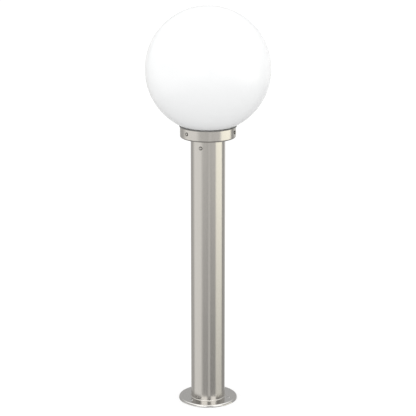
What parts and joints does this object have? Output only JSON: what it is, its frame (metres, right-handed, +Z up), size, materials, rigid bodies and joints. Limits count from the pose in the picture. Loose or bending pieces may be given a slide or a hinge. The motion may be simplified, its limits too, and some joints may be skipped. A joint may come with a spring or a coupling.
{
  "type": "bollard light",
  "caption": "Post-top bollard light: satin steel tube on a round anchored base plate, spun cup with set screws and an opal globe over a screw-in lamp.",
  "frame": {"origin": "centre of the base plate's footprint, on the ground", "axes": "+Z up along the post; -Y is the front; +X to the right seen from the front"},
  "size_m": [0.245, 0.245, 0.8],
  "materials": {
    "post_steel": "satin drawn tube",
    "cup_steel": "satin spun sheet",
    "base_steel": "smooth pressed sheet, half polished",
    "screw_steel": "bright fasteners",
    "inner_steel": "zinc-plated, dull",
    "sleeve_metal": "turned",
    "weld_metal": "dressed and polished",
    "rubber_black": "matt moulded",
    "opal_shade": "opal, smooth",
    "brass": "drawn",
    "nickel_cap": "nickel-plated sheet",
    "holder_black": "moulded",
    "insulator_black": "glassy",
    "lamp_white": "moulded",
    "lamp_dome": "frosted",
    "board_white": "printed board",
    "chip_yellow": "phosphor",
    "driver_green": "circuit card",
    "block_grey": "moulded polyamide",
    "lead_brown": "PVC",
    "lead_blue": "PVC",
    "lead_green": "PVC"
  },
  "bodies": {
    "post": {"base_plate": "base_steel", "cable_grommet": "rubber_black", "foot_weld": "weld_metal", "post_tube": "post_steel", "head_sleeve": "sleeve_metal", "post_screws": "screw_steel", "gallery_cup": "cup_steel", "cup_screws": "inner_steel", "globe_seal": "rubber_black", "globe_screw_nuts": "inner_steel", "nipple": "inner_steel", "nipple_nuts": "inner_steel", "nipple_washer": "inner_steel", "terminal_bracket": "inner_steel", "terminal_block": "block_grey", "terminal_clamps": "brass", "terminal_screws": "inner_steel", "block_screws": "inner_steel", "earth_lug": "nickel_cap", "earth_screw": "brass", "holder_base": "holder_black", "holder_insert": "holder_black", "holder_skirt": "holder_black", "screw_shell": "brass", "centre_contact": "brass", "lead_live": "lead_brown", "lead_neutral": "lead_blue", "lead_earth": "lead_green"},
    "shade": {"globe": "opal_shade", "globe_neck": "opal_shade"},
    "lamp": {"lamp_cap": "nickel_cap", "lamp_cap_insulator": "insulator_black", "lamp_tip": "nickel_cap", "lamp_housing": "lamp_white", "lamp_diffuser": "lamp_dome", "led_board": "board_white", "led_chips": "chip_yellow", "lamp_driver": "driver_green"},
    "set_screw_1": {"globe_screw_1": "screw_steel"},
    "set_screw_2": {"globe_screw_2": "screw_steel"},
    "set_screw_3": {"globe_screw_3": "screw_steel"}
  },
  "joints": [
    {"name": "shade_lift", "type": "slide", "parent": "post", "child": "shade", "axis": [0, 0, 1], "range_m": [0, 0.18]},
    {"name": "lamp_unscrew", "type": "slide", "parent": "post", "child": "lamp", "axis": [0, 0, 1], "range_m": [0, 0.027]},
    {"name": "set_screw_1_back_off", "type": "slide", "parent": "post", "child": "set_screw_1", "axis": [0.9455, -0.3256, 0], "range_m": [0, 0.004]},
    {"name": "set_screw_2_back_off", "type": "slide", "parent": "post", "child": "set_screw_2", "axis": [-0.1908, 0.9816, 0], "range_m": [0, 0.004]},
    {"name": "set_screw_3_back_off", "type": "slide", "parent": "post", "child": "set_screw_3", "axis": [-0.7547, -0.6561, 0], "range_m": [0, 0.004]}
  ]
}
